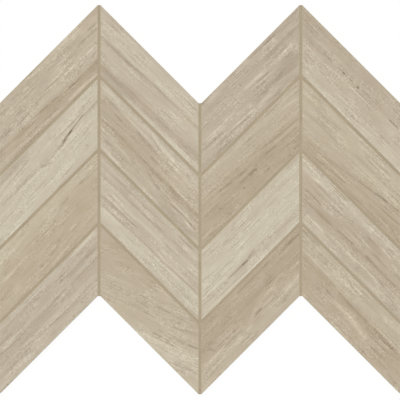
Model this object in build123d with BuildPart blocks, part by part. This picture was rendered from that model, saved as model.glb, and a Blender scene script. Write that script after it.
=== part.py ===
"""Chevron mosaic sheet: mitred porcelain chips in zigzag courses on a glass-fibre mesh, joints grouted.

The sheet lies face up. The origin is at the middle of its outline, on the underside of the mesh,
with +X across the columns and +Y up the courses.
"""

from build123d import *
import math
import os

# Layout of the sheet, in millimetres and degrees
column_count = 4
course_count = 4
column_width = 74.7  # across one column, from mitred end to mitred end
chip_width = 37.6  # across one chip, square to its long edges
mitre_angle = 45.0  # slope of the long edges
joint_width = 2.1  # clear gap between neighbouring chips

# A chip
chip_thickness = 8.0
arris_width = 0.2  # bevel ground around the face
nip_length = 5 * arris_width  # cut off along both edges of a sharp corner, clear of the bevel

# Keyed back of a chip: shallow grooves that give the adhesive its grip
key_width = 4.5
key_pitch = 9.0
key_depth = 0.5

# Grout, struck hollow with a round tool
grout_recess = 0.35  # below the chip faces, along the sides of a joint
tool_radius = 2.6

# Mesh that the chips are glued to
strand_width = 1.2
strand_thickness = 0.6
mesh_pitch = 12.8
mesh_setback = 1.5  # of the mesh's cut edge, inside the chips' edges

# Worked out from the sizes above
slope = math.radians(mitre_angle)
chip_height = chip_width / math.cos(slope)  # measured up the sheet
joint_height = joint_width / math.cos(slope)
course_pitch = chip_height + joint_height
column_height = course_count * course_pitch - joint_height
column_pitch = column_width + joint_width
rise = column_width * math.tan(slope)  # climb of a long edge across its column
sheet_width = column_count * column_pitch - joint_width
sheet_height = column_height + rise
chip_back = strand_thickness
chip_face = chip_back + chip_thickness


def column_sides(column):
    """Left and right x of a column, counted from the left."""
    left = column * column_pitch - sheet_width / 2
    return left, left + column_width


def column_feet(column):
    """Height of a column's lower edge at its left and right sides: columns climb and fall in turn."""
    low = -sheet_height / 2
    climbs = column % 2 == 0
    return (low, low + rise) if climbs else (low + rise, low)


def chip_corners(column, course):
    """Corners of a chip's outline, for courses counted from the top of the sheet."""
    left, right = column_sides(column)
    lift = (course_count - 1 - course) * course_pitch
    left_foot, right_foot = (foot + lift for foot in column_feet(column))
    return [
        (left, left_foot),
        (right, right_foot),
        (right, right_foot + chip_height),
        (left, left_foot + chip_height),
    ]


def sheet_corners():
    """Zigzag outline of the sheet, out along its lower edge and back along its upper edge."""
    lower = []
    for column in range(column_count):
        lower += zip(column_sides(column), column_feet(column))
    upper = [(x, y + column_height) for x, y in reversed(lower)]
    return lower + upper


def chip_outline(column, course):
    """A chip's outline, with its two sharp corners nipped."""
    with BuildSketch() as outline:
        with BuildLine():
            Polyline(*chip_corners(column, course), close=True)
        middle = make_face().center()
        chamfer(outline.vertices().sort_by_distance(middle)[-2:], nip_length)
    return outline.sketch


def build_chip(column, course, name):
    """One porcelain chip, keyed on its back and bevelled around its face."""
    corners = chip_corners(column, course)
    along = Vector(*corners[1]) - Vector(*corners[0])
    centre = (Vector(*corners[0]) + Vector(*corners[2])) / 2
    back = Plane((centre.X, centre.Y, chip_back), x_dir=(along.X, along.Y, 0), z_dir=(0, 0, 1))
    key_length = 2 * (along.length + chip_height)  # long enough to run out at both ends
    key_count = int(chip_width // key_pitch)
    with BuildPart() as chip:
        with BuildSketch(Plane.XY.offset(chip_back)):
            add(chip_outline(column, course))
        extrude(amount=chip_thickness)
        chamfer(chip.faces().sort_by(Axis.Z)[-1].edges(), arris_width)
        with BuildSketch(back):
            with GridLocations(key_length, key_pitch, 1, key_count):
                Rectangle(key_length, key_width)
        extrude(amount=key_depth, mode=Mode.SUBTRACT)
    chip.part.label = name
    return chip.part


def tool_planes(height):
    """Planes across the start of every joint's middle line: joints between columns, then between courses."""
    column_joints = []
    for column in range(column_count - 1):
        middle = column_sides(column)[1] + joint_width / 2
        column_joints.append(Plane((middle, -sheet_height / 2, height), z_dir=(0, 1, 0)))
    course_joints = []
    for column in range(column_count):
        for course in range(course_count - 1):
            left, right = (Vector(*corner) for corner in chip_corners(column, course)[:2])
            along = right - left
            start = left - along * (joint_width / 2 / column_width)  # in the middle of the column joint
            origin = (start.X, start.Y - joint_height / 2, height)
            course_joints.append(Plane(origin, z_dir=(along.X, along.Y, 0)))
    return column_joints, course_joints


def build_grout():
    """The grout: one web that fills every joint, struck hollow along the middle of each."""
    shoulder = chip_face - grout_recess
    tool_height = shoulder + math.sqrt(tool_radius**2 - (joint_width / 2) ** 2)
    column_joints, course_joints = tool_planes(tool_height)
    with BuildPart() as grout:
        with BuildSketch(Plane.XY.offset(chip_back)) as web:
            with BuildLine():
                Polyline(*sheet_corners(), close=True)
            make_face()
            chamfer(web.vertices().sort_by_distance((0, 0))[-2:], nip_length)
            for column in range(column_count):
                for course in range(course_count):
                    add(chip_outline(column, course), mode=Mode.SUBTRACT)
        extrude(amount=shoulder - chip_back)
        with BuildSketch(*column_joints):
            Circle(tool_radius)
        extrude(amount=sheet_height, mode=Mode.SUBTRACT)
        with BuildSketch(*course_joints):
            Circle(tool_radius)
        extrude(amount=column_pitch / math.cos(slope), mode=Mode.SUBTRACT)
    grout.part.label = "grout"
    return grout.part


def build_mesh():
    """The glass-fibre mesh: one flat net, cut to the sheet's outline."""
    with BuildSketch() as trim:
        with BuildLine():
            Polyline(*sheet_corners(), close=True)
        make_face()
        offset(amount=-mesh_setback, kind=Kind.INTERSECTION)
    across = 2 * math.ceil(sheet_width / mesh_pitch / 2) + 1
    up = 2 * math.ceil(sheet_height / mesh_pitch / 2) + 1
    with BuildPart() as mesh:
        with BuildSketch() as net:
            with GridLocations(mesh_pitch, sheet_height, across, 1):
                Rectangle(strand_width, sheet_height)
            with GridLocations(sheet_width, mesh_pitch, 1, up):
                Rectangle(sheet_width, strand_width)
            add(trim.sketch, mode=Mode.INTERSECT)
        net_proper = net.faces().sort_by(SortBy.AREA)[-1]  # without loose offcuts in the sheet's points
        extrude(net_proper, amount=strand_thickness)
    mesh.part.label = "mesh_backing"
    return mesh.part


os.makedirs("parts", exist_ok=True)
for column in range(column_count):
    for course in range(course_count):
        name = f"chip_{chr(ord('a') + column)}{course + 1}"
        export_step(build_chip(column, course, name), f"parts/{name}.step")
export_step(build_grout(), "parts/grout.step")
export_step(build_mesh(), "parts/mesh_backing.step")
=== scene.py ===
"""Looks of a chevron mosaic sheet: stone-print porcelain chips, struck grout and a glass-fibre mesh behind.

The file is laid out as an add-on and run as a script. Lengths are in metres, apart from the figure of the
stone, which is drawn in millimetres on each chip: u runs along the chip and v across it, from its middle.
"""

import math
from typing import NamedTuple

import bmesh
import bpy
from bpy.props import FloatProperty, FloatVectorProperty, PointerProperty
from bpy.types import NodeSocket, Operator, Panel, PropertyGroup
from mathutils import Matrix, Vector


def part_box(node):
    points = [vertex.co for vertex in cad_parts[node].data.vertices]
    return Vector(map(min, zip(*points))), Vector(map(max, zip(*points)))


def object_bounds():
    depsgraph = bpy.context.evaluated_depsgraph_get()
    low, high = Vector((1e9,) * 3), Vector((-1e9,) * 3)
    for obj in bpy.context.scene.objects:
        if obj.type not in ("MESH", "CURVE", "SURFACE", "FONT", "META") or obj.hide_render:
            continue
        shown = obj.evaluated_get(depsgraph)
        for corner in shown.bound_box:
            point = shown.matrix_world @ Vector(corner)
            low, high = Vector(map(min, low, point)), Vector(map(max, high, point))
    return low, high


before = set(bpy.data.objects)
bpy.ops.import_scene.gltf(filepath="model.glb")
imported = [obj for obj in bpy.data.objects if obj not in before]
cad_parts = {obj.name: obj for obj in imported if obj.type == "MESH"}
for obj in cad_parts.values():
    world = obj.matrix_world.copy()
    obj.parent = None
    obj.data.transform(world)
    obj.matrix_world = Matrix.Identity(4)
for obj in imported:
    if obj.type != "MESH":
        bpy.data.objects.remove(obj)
cad_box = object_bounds()

bl_info = {
    "name": "Chevron mosaic sheet",
    "version": (1, 0, 0),
    "blender": (4, 5, 0),
    "location": "View3D > Sidebar > Mosaic",
    "description": "Finishes the chips, grout and mesh of a chevron mosaic sheet",
    "category": "Material",
}

MILLIMETRE = 0.001
WHITE = (1.0, 1.0, 1.0, 1.0)

# Lie of the chips
CLIMBING_COLUMNS = "ac"
CHIP_SLOPE = math.radians(45.0)

# Stone figure
SEED_STEP = 13.7  # from one chip's noise to the next one's
EDGE_STRENGTH = 0.37  # of a vein at its half width, where its middle has 1
END_FADE = 0.18  # share * (1 - share) at the quarter of its length over which a vein's end fades in
LINE_BRIGHTNESS = 0.75  # change of brightness for a fine line's change of tone
LINE_START, LINE_FULL = 0.06, 0.24  # noise, up or down, that begins a fine line and gives all of its tone
DARK_LINE, PALE_LINE = -0.24, 0.12  # change of tone in the fine lines
BAND_SWAY, VEIN_SWAY = 3.2, 1.6  # millimetres that the noise moves the bands and the veins by
CLOUD_TONE = 0.3  # weight of the soft clouds
BLUSH, TINT = 0.11, 0.007  # weight of the noise in the colour's strength and in its hue
NEUTRAL_HUE = 0.5  # of Blender's hue node

# Finishes
MINERAL_IOR = 1.5  # porcelain, cement and glass alike
BAND_PERIOD = 0.314  # of Blender's band wave at a scale of 1

# Stage
FLOOR_HALF = 3.0
FLOOR_WHITE = 0.93  # share of plain white in what the eye sees of the floor; the rest keeps the shadow
SKY_LEVEL = 0.4  # share of the light that comes from all round
SOFTBOX_ANGLE = math.radians(40.0)
SOFTBOX_TILT = (math.radians(-4.0), math.radians(-4.0), 0.0)
SOFTBOX_PLACE = (-0.07, 0.07, 1.0)
LENS_LENGTH = 300.0  # long, so that the sheet is seen square
SENSOR_WIDTH = 36.0
VIEW_WIDTH = 0.3045  # just inside the sheet's sides
VIEW_MIDDLE = (0.0, -0.00025)  # of the photograph, from the sheet's own middle


def linear(hex_code):
    """An sRGB hex colour as the linear RGBA that nodes take."""
    channels = [int(hex_code[place:place + 2], 16) / 255 for place in (1, 3, 5)]
    return (*(c / 12.92 if c <= 0.04045 else ((c + 0.055) / 1.055) ** 2.4 for c in channels), 1.0)


def feed(tree, node, inputs):
    """Set or link a node's inputs, given as {name or number: value or socket}."""
    for key, value in inputs.items():
        if isinstance(value, NodeSocket):
            tree.links.new(value, node.inputs[key])
        else:
            node.inputs[key].default_value = value


def add_node(tree, kind, inputs=None, **settings):
    """Add a node with its settings, and feed its inputs."""
    node = tree.nodes.new(kind)
    for name, value in settings.items():
        setattr(node, name, value)
    feed(tree, node, inputs or {})
    return node


def new_material(name):
    """A new material, with its tree and its shader."""
    material = bpy.data.materials.new(name)
    material.use_nodes = True
    return material, material.node_tree, material.node_tree.nodes["Principled BSDF"]


class ChipPrint(NamedTuple):
    """The figure on one chip. Tones run from 0, the darkest vein, to 1, the palest.

    bands: (v, tone) across the chip, from its lower edge to its upper one
    tilt: how far the bands climb for each millimetre along the chip
    veins: (from u, from v, to u, to v, half width, change of tone)
    shade: change of tone over the whole chip
    warmth: strength of its colour, where 1 is the palette's own
    streak: strength of its fine streaks
    cloud: strength of its mottle and its soft clouds
    """

    tilt: float
    bands: tuple
    veins: tuple
    shade: float = 0.0
    warmth: float = 1.0
    streak: float = 1.0
    cloud: float = 1.0


CHIP_PRINTS = {
    # Beige above a taupe band that a dark line edges, with pencil streaks up on the right
    "chip_a1": ChipPrint(
        tilt=-0.03,
        bands=(
            (-18.7, 0.52), (-17.2, 0.5), (-15.2, 0.4), (-12.0, 0.37), (-9.7, 0.3), (-8.7, 0.46),
            (-7.7, 0.57), (-4.0, 0.6), (2.0, 0.58), (9.0, 0.56), (13.0, 0.52), (18.7, 0.52),
        ),
        veins=(
            (2, -16.6, 38, -17.8, 1.2, 0.34), (-66, -14.2, -34, -14.6, 2.4, 0.13),
            (-60, -10.0, -40, -10.9, 0.9, 0.15), (-24, -7.7, -6, -8.9, 0.8, -0.14),
            (10, -10.2, 24, -10.8, 0.8, -0.14), (17, 11.7, 42, 10.8, 0.5, -0.2),
            (38, 8.2, 62, 6.9, 0.6, -0.18), (37, 6.8, 46, 6.4, 0.5, -0.36),
            (51, 10.4, 62, 10.0, 0.6, -0.4), (6, 10.2, 24, 9.4, 0.45, -0.22),
            (0, 2.4, 19, 2.2, 0.7, 0.3), (4, 6.2, 20, 5.9, 1.8, 0.12),
            (-16, 12.6, -9, 12.4, 0.8, 0.24), (-36, 7.2, -29, 6.8, 0.8, 0.15),
            (2, 0.6, 18, 0.4, 0.5, -0.16), (-52, -0.6, -42, -0.8, 0.5, -0.16),
            (-18, -8.3, -8, -8.8, 0.6, -0.14), (-6, -8.8, 1, -9.1, 0.6, -0.32),
            (10, -9.9, 18, -10.2, 0.7, -0.2), (24, 7.0, 40, 6.4, 0.5, -0.14),
            (-62, -4.2, -40, -4.6, 0.7, 0.14), (38, 14.2, 50, 15.2, 1.6, 0.26),
            (5, 17.5, 58, 17.5, 2.2, 0.16), (-6, 14.8, 10, 14.8, 1.6, 0.14),
            (44, 1.3, 58, 1.8, 1.4, 0.14), (28, -13.0, 56, -9.5, 3.0, -0.14),
            (-54, -0.5, -20, 1.0, 2.0, -0.16), (-72, -18.0, -8, -17.8, 1.2, -0.12),
            (-46, -13.6, -34, -13.8, 1.4, 0.1), (-44, 8.0, -30, 8.2, 1.4, 0.12),
            (44, 12.4, 68, 13.0, 3.0, 0.2), (24, 15.0, 46, 14.4, 2.5, 0.12),
            (-8, 14.0, 10, 14.4, 2.0, 0.12), (-14, -4.0, 8, -4.0, 2.2, 0.1),
            (-60, -2.0, -22, -0.6, 2.6, -0.16), (-62, -18.6, -24, -18.2, 1.2, -0.14),
            (24, -16.6, 40, -15.6, 1.8, -0.16),
        ),
        warmth=1.01,
        streak=1.1,
        cloud=1.1,
    ),
    # Pale cream with a tan corner, one dark line and a black-brown crack
    "chip_a2": ChipPrint(
        tilt=0.02,
        bands=(
            (-18.7, 0.7), (-16.5, 0.78), (-12.0, 0.8), (-6.0, 0.78), (-1.0, 0.78), (1.2, 0.74),
            (3.4, 0.7), (6.0, 0.76), (10.0, 0.72), (14.0, 0.76), (18.7, 0.66),
        ),
        veins=(
            (-46, 14.9, -3, 15.9, 3.8, -0.17), (-44, 9.2, -6, 12.6, 0.6, -0.36),
            (-51, 2.8, -7, 2.2, 0.7, -0.26), (-8, 2.4, 3, -1.6, 0.8, -0.4),
            (-7, 3.2, 3, 1.6, 1.6, -0.14), (11, 1.4, 23, 3.7, 0.7, -0.36),
            (17.5, 3.2, 31, 5.5, 0.75, -0.95), (25, 4.8, 46, 7.6, 0.55, -0.66),
            (42, 5.9, 62, 6.9, 0.6, -0.2), (0, 17.2, 16, 16.8, 0.8, 0.12),
            (-36, -8.2, -8, -8.0, 0.8, -0.2), (-42, 6.2, -20, 7.4, 1.6, 0.16),
            (22, 2.4, 43, 3.4, 0.7, 0.28), (29, -11.0, 31, -11.4, 0.8, -0.3),
            (-58, -6.8, -50, -4.8, 0.8, -0.13), (28, 8.4, 50, 9.0, 1.8, -0.16),
            (-44, 9.8, -22, 11.0, 1.8, 0.16), (0, 9.6, 14, 10.4, 1.4, 0.14),
            (26, -12.0, 42, -11.0, 1.8, -0.09), (-60, -13.0, -36, -12.0, 2.5, -0.09),
            (18, 7.6, 40, 8.8, 1.6, -0.1), (28, -5.6, 46, -5.4, 1.8, 0.1),
        ),
        shade=-0.01,
        warmth=0.98,
        streak=0.95,
        cloud=0.85,
    ),
    # Warm tan, lighter along the top, with a few short dashes below
    "chip_a3": ChipPrint(
        tilt=0.03,
        bands=(
            (-18.7, 0.5), (-12.0, 0.5), (-8.0, 0.49), (-5.0, 0.46), (-2.0, 0.47), (3.0, 0.48),
            (6.0, 0.51), (10.0, 0.57), (14.0, 0.65), (18.7, 0.61),
        ),
        veins=(
            (-52, -0.3, -18, 1.5, 0.8, 0.24), (-27, -12.0, -17, -12.2, 0.7, -0.3),
            (-10, -11.2, 1, -10.4, 0.8, -0.26), (-6, -8.7, 2, -8.6, 0.6, 0.18),
            (14, -10.1, 26, -9.1, 0.6, -0.24), (22, 10.2, 33, 10.4, 0.9, -0.34),
            (44, 11.3, 56, 11.1, 1.1, -0.24), (5, 1.1, 12, 1.3, 0.5, -0.5),
            (-4, 3.0, 8, 2.8, 0.7, 0.12), (-18, 0.8, 10, 0.6, 0.9, -0.16),
            (15, -8.2, 22, -8.0, 0.5, 0.36), (-50, -12.0, -40, -12.2, 2.2, 0.1),
            (-24, -14.2, -16, -13.8, 0.5, 0.2), (0, 6.8, 22, 7.4, 1.2, -0.14),
            (-2, -8.4, 6, -8.2, 1.2, -0.14), (-28, -16.0, -10, -15.4, 1.4, -0.13),
            (-64, -8.0, -44, -7.0, 2.5, -0.09), (10, 2.8, 26, 3.2, 1.6, -0.13),
            (-12, 4.0, 14, 4.6, 2.0, -0.1), (-2, -8.0, 12, -7.4, 1.8, -0.1),
            (-20, -5.2, -2, -4.8, 1.6, 0.11), (52, 11.4, 68, 12.0, 2.0, -0.12),
        ),
        shade=0.032,
        warmth=1.07,
        streak=0.9,
        cloud=0.85,
    ),
    # Cool stripes, level and even, with one dark line through the middle
    "chip_a4": ChipPrint(
        tilt=0.004,
        bands=(
            (-19.3, 0.62), (-16.6, 0.62), (-13.8, 0.66), (-11.6, 0.56), (-9.6, 0.48), (-7.8, 0.6),
            (-5.6, 0.62), (-3.6, 0.5), (-1.6, 0.46), (0.6, 0.47), (1.7, 0.4), (2.8, 0.6),
            (4.6, 0.64), (6.6, 0.51), (8.2, 0.5), (11.4, 0.55), (13.9, 0.56), (15.6, 0.66),
            (16.8, 0.68), (18.7, 0.58),
        ),
        veins=(
            (-46, 1.3, -32, 1.2, 0.6, -0.18), (22, 2.6, 57, 2.1, 0.6, -0.2),
            (-39, 11.5, -32, 11.3, 0.6, -0.26), (38, 17.2, 70, 16.8, 1.2, 0.26),
            (-47, 3.7, -30, 4.1, 1.6, 0.1), (-12, -6.5, 48, -6.1, 1.4, 0.1),
            (-8, -9.8, 36, -9.4, 0.6, -0.14), (-66, -13.5, -30, -12.7, 1.2, 0.11),
            (21, -13.4, 24, -14.6, 0.9, -0.26), (-14, 6.4, -4, 7.2, 1.4, 0.14),
            (-28, -2.5, -20, -2.9, 0.7, -0.18), (-58, -9.4, -20, -10.4, 0.7, -0.14),
            (-14, -14.4, -6, -14.4, 0.6, -0.22), (-4, 2.8, -2, 1.8, 0.6, -0.16),
            (30, 6.6, 50, 6.4, 1.3, -0.12), (-48, 7.0, -30, 6.8, 1.3, -0.14),
            (-62, -12.6, -18, -11.0, 1.4, 0.14), (24, -2.0, 50, -1.2, 2.2, 0.12),
            (22, 17.0, 46, 17.0, 2.0, -0.12), (-60, -3.6, -44, -3.2, 1.6, -0.14),
            (44, 4.0, 60, 4.6, 1.8, 0.14), (12, 6.0, 30, 6.6, 1.3, 0.13),
            (-18, 10.2, -4, 10.6, 1.8, -0.13), (2, 3.2, 16, 3.6, 1.4, -0.1),
            (-46, 6.6, -30, 6.4, 1.6, -0.08), (12, 9.2, 62, 7.8, 0.8, -0.2),
            (-46, -9.0, -30, -8.2, 1.8, 0.14),
        ),
        shade=-0.015,
        warmth=0.94,
        streak=1.1,
        cloud=1.1,
    ),
    # Cream, with a taupe line that fades to the right and a taupe band near the bottom
    "chip_b1": ChipPrint(
        tilt=0.03,
        bands=(
            (-18.7, 0.72), (-17.6, 0.7), (-15.6, 0.52), (-13.5, 0.45), (-12.2, 0.4), (-11.2, 0.4),
            (-10.5, 0.58), (-7.0, 0.64), (-3.0, 0.66), (1.8, 0.62), (3.2, 0.48), (4.3, 0.48),
            (5.0, 0.74), (8.0, 0.72), (12.0, 0.7), (16.0, 0.7), (18.7, 0.64),
        ),
        veins=(
            (-52, 1.7, -30, 3.1, 1.3, -0.14), (-34, 2.7, -6, 4.1, 0.9, -0.2),
            (0, 4.5, 26, 4.9, 0.5, -0.18), (24, -0.6, 44, -1.6, 1.5, 0.11),
            (-40, -14.0, 4, -12.8, 2.6, -0.18), (-2, -17.4, 70, -17.2, 1.1, 0.12),
            (-36, -18.2, -6, -18.4, 1.4, -0.24), (-8, 3.4, -5, 1.8, 0.6, -0.16),
            (-52, 5.4, -20, 6.0, 0.5, 0.2), (-48, 9.4, -36, 9.2, 1.8, -0.15),
            (16, -4.0, 32, -4.4, 2.0, -0.1), (4, -15.5, 24, -14.6, 1.6, -0.1),
            (-10, 1.2, 8, 2.4, 1.6, 0.09), (32, 2.4, 52, 2.8, 1.4, 0.1),
            (-32, 12.0, -18, 12.4, 1.4, 0.09), (-62, 7.0, -42, 6.0, 2.2, -0.12),
            (-40, 4.6, -22, 3.4, 1.8, -0.1), (-44, -11.0, -30, -11.0, 1.5, -0.11),
            (-4, 5.8, 7, 5.8, 1.8, -0.12),
        ),
        warmth=0.98,
        streak=0.8,
        cloud=0.8,
    ),
    # Taupe between pale edges, a dark line through the middle and stripes lower right
    "chip_b2": ChipPrint(
        tilt=0.0,
        bands=(
            (-18.7, 0.64), (-17.3, 0.66), (-15.3, 0.55), (-12.5, 0.53), (-10.0, 0.54), (-8.0, 0.52),
            (-5.5, 0.45), (-3.6, 0.4), (-2.6, 0.32), (-1.5, 0.32), (-0.8, 0.46), (2.0, 0.48),
            (5.0, 0.44), (8.0, 0.44), (10.0, 0.5), (12.0, 0.6), (14.0, 0.66), (17.0, 0.76),
            (18.7, 0.62),
        ),
        veins=(
            (-16, 16.6, 22, 12.8, 1.0, 0.22), (-62, 12.2, -42, 11.4, 0.6, -0.36),
            (-26, 10.1, 2, 9.5, 0.6, -0.5), (-26, 4.4, -14, 4.2, 0.5, -0.26),
            (-4, 3.8, 7, 3.4, 1.2, -0.28), (-40, -1.9, -24, -1.7, 0.9, -0.13),
            (2, -3.0, 20, -2.6, 1.1, -0.14), (22, -2.0, 36, -2.1, 0.8, -0.22),
            (20, 0.9, 50, -0.9, 0.8, 0.19), (14, 8.0, 46, 8.0, 5.0, 0.2),
            (-36, -8.8, -10, -8.6, 0.8, 0.18), (2, -5.8, 22, -10.0, 1.0, -0.32),
            (26, -8.6, 62, -9.2, 0.7, 0.28), (30, -10.6, 64, -11.0, 0.6, -0.42),
            (34, -12.4, 60, -12.6, 0.5, 0.24), (48, -12.4, 62, -13.6, 0.5, 0.34),
            (-34, -16.8, -14, -17.6, 1.3, 0.2), (24, -16.8, 68, -17.3, 2.4, -0.17),
            (-16, 14.9, 0, 12.9, 0.4, -0.24), (-44, 12.2, -4, 12.0, 0.7, 0.26),
            (-46, 7.5, -36, 7.3, 0.7, -0.24), (-12, -1.7, 0, -2.1, 1.0, -0.15),
            (-37, -12.0, -30, -11.4, 1.2, -0.24), (8, -10.7, 20, -11.8, 0.8, 0.15),
            (28, -14.0, 44, -14.8, 0.8, -0.13), (-20, -14.4, -14, -14.8, 0.6, -0.18),
            (-44, -16.0, -22, -15.0, 2.0, 0.2), (-44, -5.0, -16, -3.6, 1.5, -0.13),
            (20, 18.0, 50, 17.6, 1.6, -0.16), (36, 4.0, 56, -11.0, 2.0, -0.13),
            (4, 12.0, 22, 10.6, 1.4, 0.12), (8, 6.3, 25, 5.5, 1.5, 0.16),
            (-14, 17.0, 22, 17.0, 1.6, -0.14), (24, 13.4, 42, 12.8, 1.8, -0.11),
            (-50, 16.8, -24, 16.6, 1.4, -0.1), (36, 5.0, 54, 3.6, 1.8, 0.1),
        ),
        streak=1.05,
    ),
    # Fine stripes that climb to the right over a cream lower third
    "chip_b3": ChipPrint(
        tilt=0.022,
        bands=(
            (-18.7, 0.62), (-17.0, 0.72), (-14.0, 0.75), (-11.0, 0.76), (-8.6, 0.77), (-7.6, 0.64),
            (-6.8, 0.49), (-5.6, 0.59), (-4.0, 0.62), (-2.6, 0.54), (-1.4, 0.59), (0.0, 0.6),
            (2.4, 0.67), (5.0, 0.65), (7.0, 0.65), (8.2, 0.57), (9.2, 0.46), (10.4, 0.58),
            (12.0, 0.62), (13.8, 0.53), (15.0, 0.57), (16.6, 0.65), (18.7, 0.57),
        ),
        veins=(
            (-58, 7.6, 8, 9.6, 0.6, -0.16), (-18, 9.2, 8, 10.2, 0.7, -0.22),
            (-44, -8.0, -16, -7.6, 0.5, -0.3), (-14, -7.0, 20, -5.8, 0.5, -0.14),
            (22, -5.8, 58, -5.4, 0.5, -0.25), (20, 13.1, 40, 12.3, 1.6, 0.22),
            (4, -12.1, 28, -11.1, 0.5, -0.34), (28, -12.8, 64, -13.0, 0.6, -0.28),
            (-42, -3.0, -9, -2.2, 0.5, -0.38), (-60, 12.7, -10, 14.3, 0.7, -0.14),
            (14, 16.0, 32, 16.2, 0.5, -0.46), (-40, -11.2, -20, -10.3, 2.0, 0.1),
            (6, -8.4, 10, -9.2, 1.4, 0.12), (-40, 17.4, -22, 17.0, 1.6, -0.16),
            (4, 14.6, 40, 14.4, 1.6, 0.1), (-30, 1.0, 16, 4.4, 1.3, 0.14),
            (8, -4.6, 54, -4.2, 1.3, 0.16), (0, -9.4, 68, -11.4, 2.2, -0.14),
            (-24, -5.8, -9, -5.7, 1.4, -0.2), (10, -6.8, 42, -7.2, 1.5, 0.18),
            (22, 17.4, 40, 17.2, 1.4, -0.14), (10, 4.0, 40, 3.4, 1.3, -0.1),
        ),
        shade=0.023,
        warmth=0.97,
        streak=0.85,
        cloud=0.9,
    ),
    # Its bedding steeper than the chip: tan at the upper left, pale at the lower right, dashes between
    "chip_b4": ChipPrint(
        tilt=0.34,
        bands=(
            (-40.0, 0.7), (-30.0, 0.72), (-23.0, 0.78), (-18.8, 0.76), (-15.2, 0.63), (-8.6, 0.6),
            (0.0, 0.58), (8.0, 0.58), (14.5, 0.55), (18.8, 0.48), (25.0, 0.46), (38.0, 0.46),
        ),
        veins=(
            (-14, -2.3, 0, 1.1, 1.0, -0.28), (-14, 3.3, -6, 5.5, 1.3, -0.1),
            (0, 5.2, 14, 10.4, 0.6, -0.4), (18, 10.0, 24, 14.0, 1.8, -0.15),
            (28, 8.0, 40, 12.5, 1.2, -0.36), (30, -1.5, 38, 1.0, 0.8, -0.36),
            (38, 1.5, 48, 5.5, 0.8, -0.5), (20, 3.8, 30, 7.2, 0.6, -0.32),
            (13, -10.4, 22, -8.4, 1.0, -0.44), (22, -8.0, 34, -5.4, 0.6, -0.36),
            (-6, -2.0, 12, 0.6, 1.0, 0.18), (14, -6.2, 30, -3.4, 0.6, -0.3),
            (-22, -3.6, -18, -3.0, 0.6, -0.22), (26, 15.4, 38, 18.4, 0.6, 0.15),
            (30, 4.0, 44, 7.4, 0.8, 0.15), (-40, 7.0, -30, 7.0, 1.2, 0.12),
            (-12, 2.6, -4, 3.6, 2.2, -0.14), (-8, 17.6, 8, 17.2, 2.4, 0.18),
            (14, 6.0, 26, 10.0, 1.8, -0.12), (24, 17.0, 40, 18.5, 1.6, -0.14),
            (40, -8.0, 58, -7.0, 2.0, 0.09), (40, -15.0, 54, -14.0, 1.6, -0.14),
            (15, 5.0, 36, 16.0, 1.6, -0.13), (18, -5.4, 32, -4.6, 2.0, 0.11),
            (26, -18.0, 44, -17.6, 1.4, -0.12), (54, -14.0, 70, -12.0, 2.0, -0.11),
            (-20, 1.4, -2, 1.8, 2.4, -0.09),
        ),
        warmth=1.03,
        streak=0.9,
    ),
    # Greige with a taupe block on the right and pale streaks on the left
    "chip_c1": ChipPrint(
        tilt=-0.03,
        bands=(
            (-18.7, 0.42), (-16.8, 0.5), (-14.8, 0.58), (-12.8, 0.54), (-10.8, 0.52), (-8.0, 0.5),
            (-5.0, 0.52), (-2.8, 0.56), (0.2, 0.52), (2.6, 0.6), (4.7, 0.54), (7.2, 0.52),
            (10.2, 0.48), (13.2, 0.55), (15.8, 0.54), (17.6, 0.44), (18.7, 0.44),
        ),
        veins=(
            (-58, -2.9, -16, -5.1, 1.3, 0.25), (-58, -10.0, -14, -12.4, 0.6, 0.18),
            (-56, -12.1, -10, -14.7, 0.5, -0.15), (-30, -11.4, -6, -13.2, 1.2, 0.28),
            (-8, -13.4, 18, -12.8, 1.4, 0.28), (4, -0.5, 21, -0.4, 0.6, -0.42),
            (-6, 2.9, 22, 1.9, 1.2, 0.32), (36, 2.9, 52, 1.9, 1.3, 0.18),
            (42, -2.4, 50, -2.6, 0.7, 0.36), (20, -6.2, 48, -8.2, 3.2, -0.2),
            (24, -10.7, 40, -12.5, 1.6, -0.18), (8, 10.0, 58, 7.6, 1.8, -0.1),
            (16, 17.4, 62, 14.6, 0.8, -0.24), (34, 13.4, 42, 12.8, 1.8, 0.19),
            (-32, 14.5, -16, 14.5, 1.6, 0.16), (-60, -7.6, -40, -8.4, 0.7, -0.18),
            (0, -16.1, 18, -16.5, 0.5, -0.22), (-12, -6.6, -4, -10.6, 2.0, 0.1),
            (18, 5.6, 32, 5.6, 0.7, 0.17), (50, 11.4, 62, 10.6, 1.4, 0.11),
            (-34, 8.2, -14, 8.8, 0.6, 0.13), (-4, 7.6, -2.6, 6.8, 1.0, -0.44),
            (-46, 6.4, -40, 5.8, 0.8, 0.2), (4, -7.2, 28, -9.6, 2.4, -0.2),
            (20, 6.0, 38, 6.2, 1.8, -0.14), (48, 8.4, 64, 7.6, 2.0, -0.14),
            (-1, 17.2, 17, 17.4, 1.8, 0.26), (-29, 16.9, -9, 17.0, 1.8, 0.22),
            (-46, -7.0, -32, -6.6, 1.2, 0.14), (-24, -7.0, -10, -6.8, 1.3, 0.12),
            (-52, -16.4, -34, -16.4, 1.3, -0.14), (28, -3.8, 44, -3.4, 1.4, -0.1),
            (24, 4.0, 46, 5.0, 2.2, -0.15), (-10, -11.0, 10, -10.6, 2.0, -0.1),
            (-52, -5.0, -32, -5.0, 2.0, 0.11), (22, -16.8, 42, -15.8, 2.0, -0.13),
        ),
        shade=-0.02,
        warmth=0.95,
        streak=1.1,
        cloud=1.1,
    ),
    # Beige above taupe, with brown dashes that fall to the right along the seam
    "chip_c2": ChipPrint(
        tilt=-0.07,
        bands=(
            (-23.0, 0.42), (-15.0, 0.4), (-11.0, 0.37), (-7.0, 0.36), (-3.0, 0.39), (1.0, 0.4),
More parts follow.
